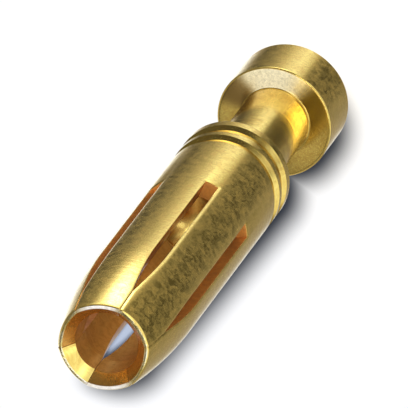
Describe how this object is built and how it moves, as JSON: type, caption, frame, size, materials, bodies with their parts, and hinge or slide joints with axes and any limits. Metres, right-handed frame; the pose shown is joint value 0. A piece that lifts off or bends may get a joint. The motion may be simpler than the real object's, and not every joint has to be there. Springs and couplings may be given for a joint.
{
  "type": "crimp contact",
  "caption": "Turned, gold-plated socket crimp contact: slotted barrel with spring tongues closing on a pin, identification grooves, slim neck and a head with the wire bore.",
  "frame": {"origin": "centre of the flat rear face of the head, on which the contact stands", "axes": "+Z along the contact's axis from the wire end to the mouth for the pin; +X through the middle of one slot"},
  "size_m": [0.0044, 0.0044, 0.0241],
  "materials": {
    "gold_plating": "turned copper alloy with thin gold plating, tumbled, semi-bright"
  },
  "bodies": {
    "root": {"socket_contact": "gold_plating"}
  },
  "joints": []
}
